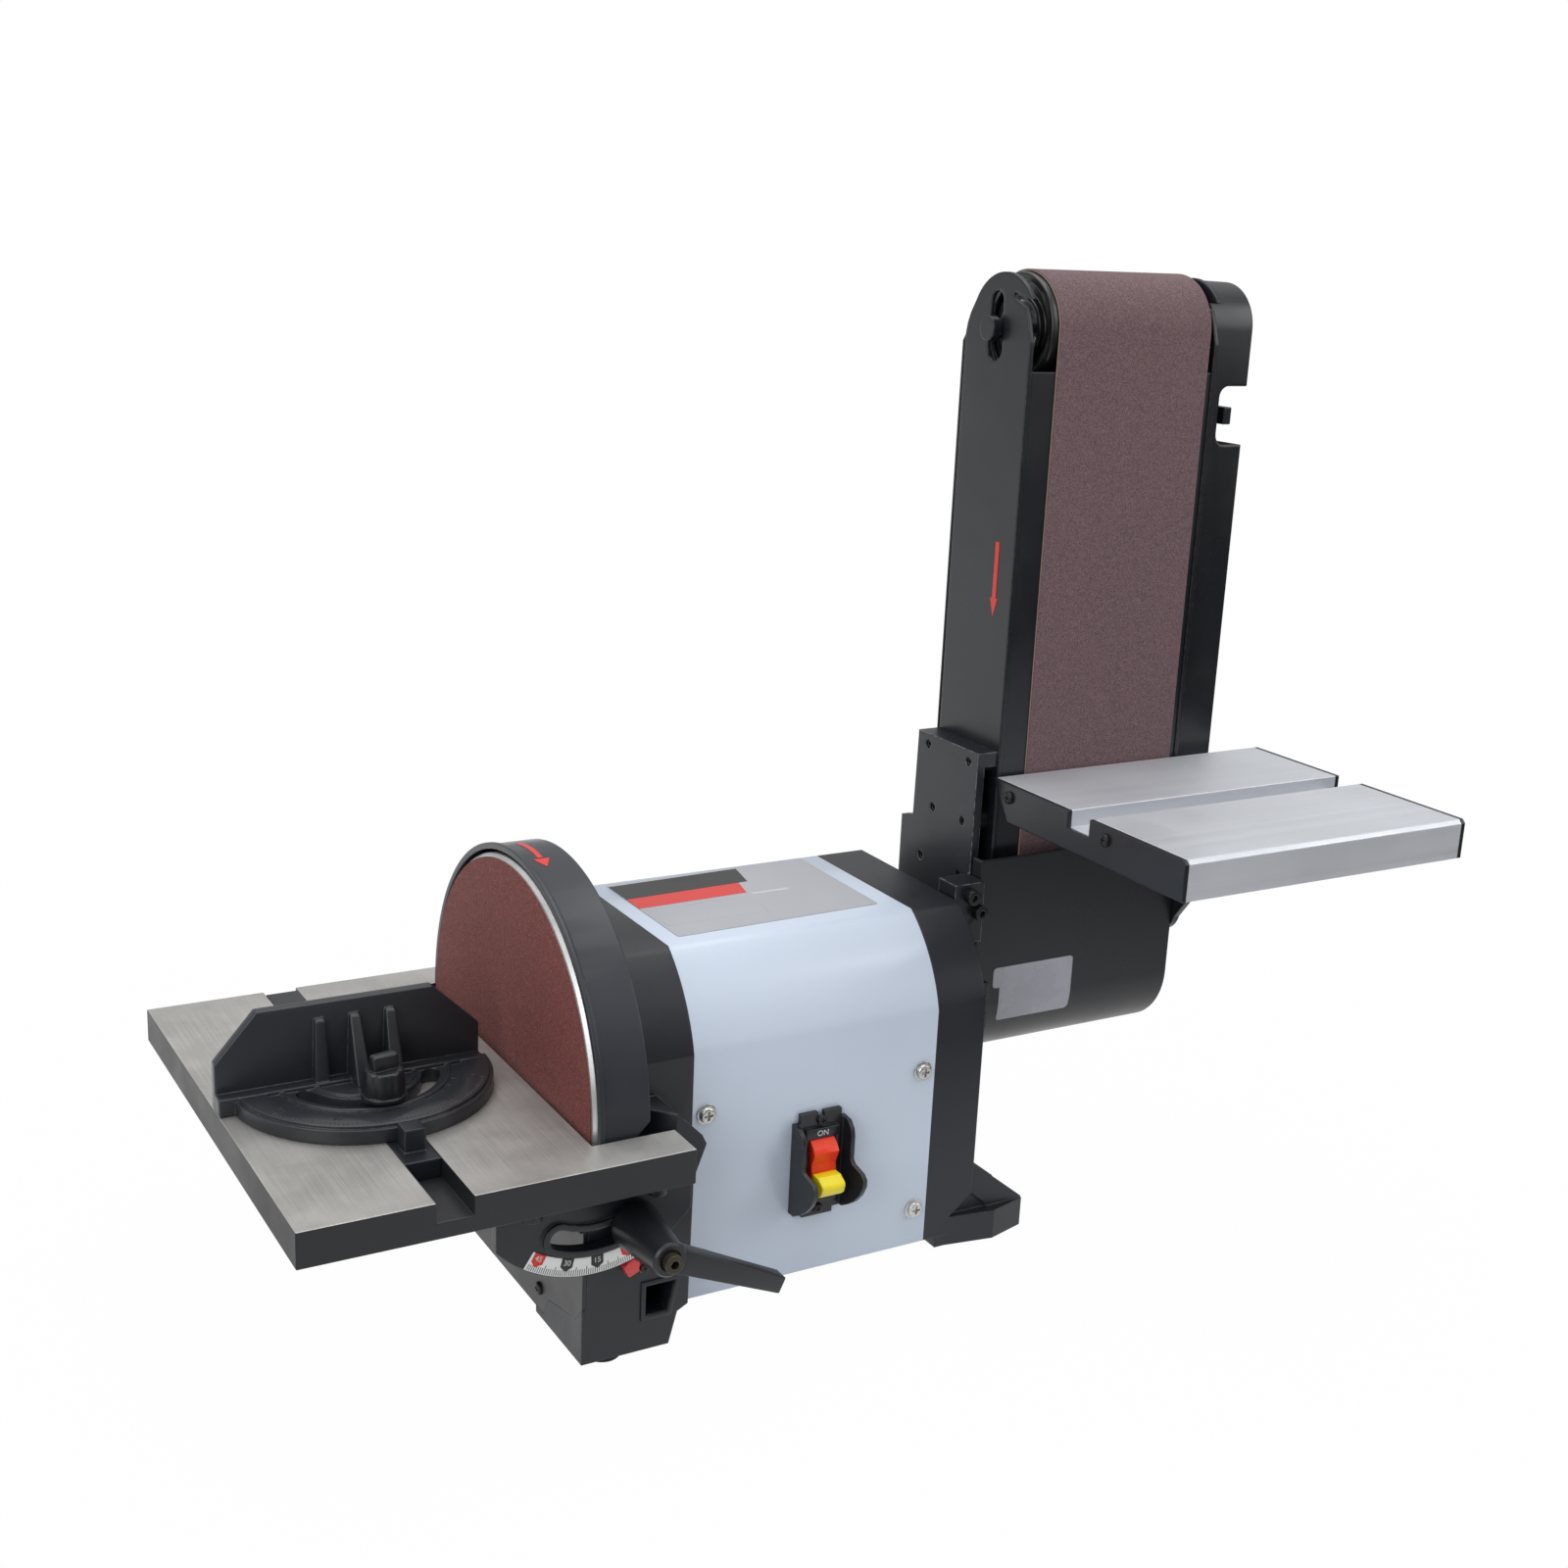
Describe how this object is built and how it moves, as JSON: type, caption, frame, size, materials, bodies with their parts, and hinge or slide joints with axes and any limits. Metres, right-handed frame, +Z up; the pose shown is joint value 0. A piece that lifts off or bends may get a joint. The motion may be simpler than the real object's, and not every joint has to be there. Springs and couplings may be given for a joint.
{
  "type": "belt and disc sander",
  "caption": "Bench belt and disc sander: a motor with a sanding disc and tilting table at one end and a tilting sanding belt with its own table at the other.",
  "frame": {"origin": "on the bench, at the middle of the four bench bolts", "axes": "+X along the motor's axis from the disc to the belt, -Y towards the operator, +Z up"},
  "size_m": [0.6038, 0.3435, 0.5141],
  "materials": {
    "black_casting": "satin",
    "black_sheet": "satin",
    "pale_paint": "satin",
    "black_rubber": "matte",
    "steel": "satin",
    "copper": "satin",
    "bearing_steel": "polished",
    "black_plastic": "matte",
    "red_plastic": "gloss",
    "yellow_plastic": "gloss",
    "aluminium": "brushed",
    "ground_iron": "ground",
    "disc_grit": "matte",
    "belt_grit": "matte",
    "dark_aluminium": "gloss",
    "scale_white": "satin"
  },
  "bodies": {
    "base": {"left_casting": "black_casting", "right_casting": "black_casting", "motor_cover": "pale_paint", "bottom_plate": "black_sheet", "rubber_feet": "black_rubber", "motor_stator": "steel", "stator_windings": "copper", "stator_bolts": "steel", "shaft_bearings": "bearing_steel", "run_capacitor": "black_plastic", "arm_retainer": "steel", "switch_housing": "black_plastic", "switch_screws": "steel", "cover_screws": "steel", "disc_guard": "black_sheet", "disc_cover": "black_sheet", "disc_cover_screws": "steel", "disc_dust_port": "black_plastic", "tilt_pointer": "red_plastic", "pointer_screw": "steel", "cable_gland": "black_plastic"},
    "spindle": {"motor_shaft": "steel", "rotor_core": "steel", "cooling_fan": "black_plastic", "disc_plate": "aluminium", "sanding_disc": "disc_grit", "drive_drum": "aluminium"},
    "arm": {"arm_bracket": "black_casting", "frame_screws": "steel", "arm_screws": "steel", "belt_frame": "black_sheet", "platen": "black_sheet", "drum_cover": "black_sheet", "belt_guard": "black_sheet", "sanding_belt": "belt_grit", "tension_spring": "steel", "table_support": "black_sheet"},
    "carriage": {"idler_axle": "steel", "idler_bearings": "bearing_steel", "idler_slider": "steel"},
    "idler_roller": {"idler_drum": "dark_aluminium"},
    "tension_handle": {"tension_lever": "black_sheet"},
    "tracking_handle": {"tracking_knob": "black_plastic"},
    "belt_table": {"belt_table_top": "aluminium", "belt_table_end_caps": "black_plastic", "end_cap_screws": "steel", "belt_table_bracket": "black_sheet"},
    "belt_table_handle": {"belt_table_knob": "black_plastic"},
    "disc_table": {"disc_table_top": "ground_iron", "front_trunnion": "black_casting", "rear_trunnion": "black_casting", "trunnion_bolts": "steel", "tilt_scale": "scale_white"},
    "front_lock": {"front_lock_lever": "black_plastic"},
    "rear_lock": {"rear_lock_lever": "black_plastic"},
    "gauge_bar": {"miter_bar": "black_sheet"},
    "gauge_head": {"miter_head": "black_plastic"},
    "gauge_knob": {"miter_knob": "black_plastic"},
    "rocker": {"switch_paddle": "red_plastic"},
    "safety_key": {"switch_key": "yellow_plastic"}
  },
  "joints": [
    {"name": "spindle_spin", "type": "hinge", "parent": "base", "child": "spindle", "pos_m": [0.0015, 0, 0.121], "axis": [1, 0, 0], "continuous": true},
    {"name": "arm_tilt", "type": "hinge", "parent": "base", "child": "arm", "pos_m": [0.0985, 0, 0.121], "axis": [-1, 0, 0], "range_deg": [0, 90]},
    {"name": "idler_slide", "type": "slide", "parent": "arm", "child": "carriage", "axis": [0, 0, 1], "range_m": [-0.006, 0]},
    {"name": "idler_spin", "type": "hinge", "parent": "carriage", "child": "idler_roller", "pos_m": [0.1815, 0, 0.48348], "axis": [1, 0, 0], "continuous": true},
    {"name": "tension_lever_turn", "type": "hinge", "parent": "arm", "child": "tension_handle", "pos_m": [0.2665, 0.002, 0.43948], "axis": [1, 0, 0], "range_deg": [0, 26]},
    {"name": "tracking_knob_turn", "type": "hinge", "parent": "carriage", "child": "tracking_handle", "pos_m": [0.2539, 0.045, 0.49148], "axis": [0, 1, 0], "range_deg": [-180, 180]},
    {"name": "belt_table_tilt", "type": "hinge", "parent": "arm", "child": "belt_table", "pos_m": [0.2535, -0.05, 0.219], "axis": [1, 0, 0], "range_deg": [0, 45]},
    {"name": "belt_table_knob_turn", "type": "hinge", "parent": "belt_table", "child": "belt_table_handle", "pos_m": [0.2665, -0.05, 0.185], "axis": [1, 0, 0], "range_deg": [-180, 180]},
    {"name": "disc_table_tilt", "type": "hinge", "parent": "base", "child": "disc_table", "pos_m": [-0.1485, 0, 0.121], "axis": [0, -1, 0], "range_deg": [0, 45]},
    {"name": "front_lock_turn", "type": "hinge", "parent": "base", "child": "front_lock", "pos_m": [-0.12948, -0.12, 0.07747], "axis": [0, 1, 0], "range_deg": [-60, 60]},
    {"name": "rear_lock_turn", "type": "hinge", "parent": "base", "child": "rear_lock", "pos_m": [-0.12948, 0.12, 0.07747], "axis": [0, 1, 0], "range_deg": [-60, 60]},
    {"name": "miter_slide", "type": "slide", "parent": "disc_table", "child": "gauge_bar", "axis": [0, 1, 0], "range_m": [-0.09, 0.09]},
    {"name": "miter_angle", "type": "hinge", "parent": "gauge_bar", "child": "gauge_head", "pos_m": [-0.2257, -0.006, 0.125], "axis": [0, 0, 1], "range_deg": [-60, 60]},
    {"name": "miter_knob_turn", "type": "hinge", "parent": "gauge_bar", "child": "gauge_knob", "pos_m": [-0.2257, -0.039, 0.136], "axis": [0, 0, 1], "range_deg": [-180, 180]},
    {"name": "switch_rock", "type": "hinge", "parent": "base", "child": "rocker", "pos_m": [-0.0115, -0.076, 0.071], "axis": [-1, 0, 0], "range_deg": [0, 10]},
    {"name": "key_pull", "type": "slide", "parent": "rocker", "child": "safety_key", "axis": [0, -1, 0], "range_m": [0, 0.012]}
  ],
  "couplings": [
    {"joint": "idler_spin", "follows": "spindle_spin", "ratio": 1},
    {"joint": "tension_lever_turn", "follows": "idler_slide", "rad_per_m": -72.722}
  ]
}
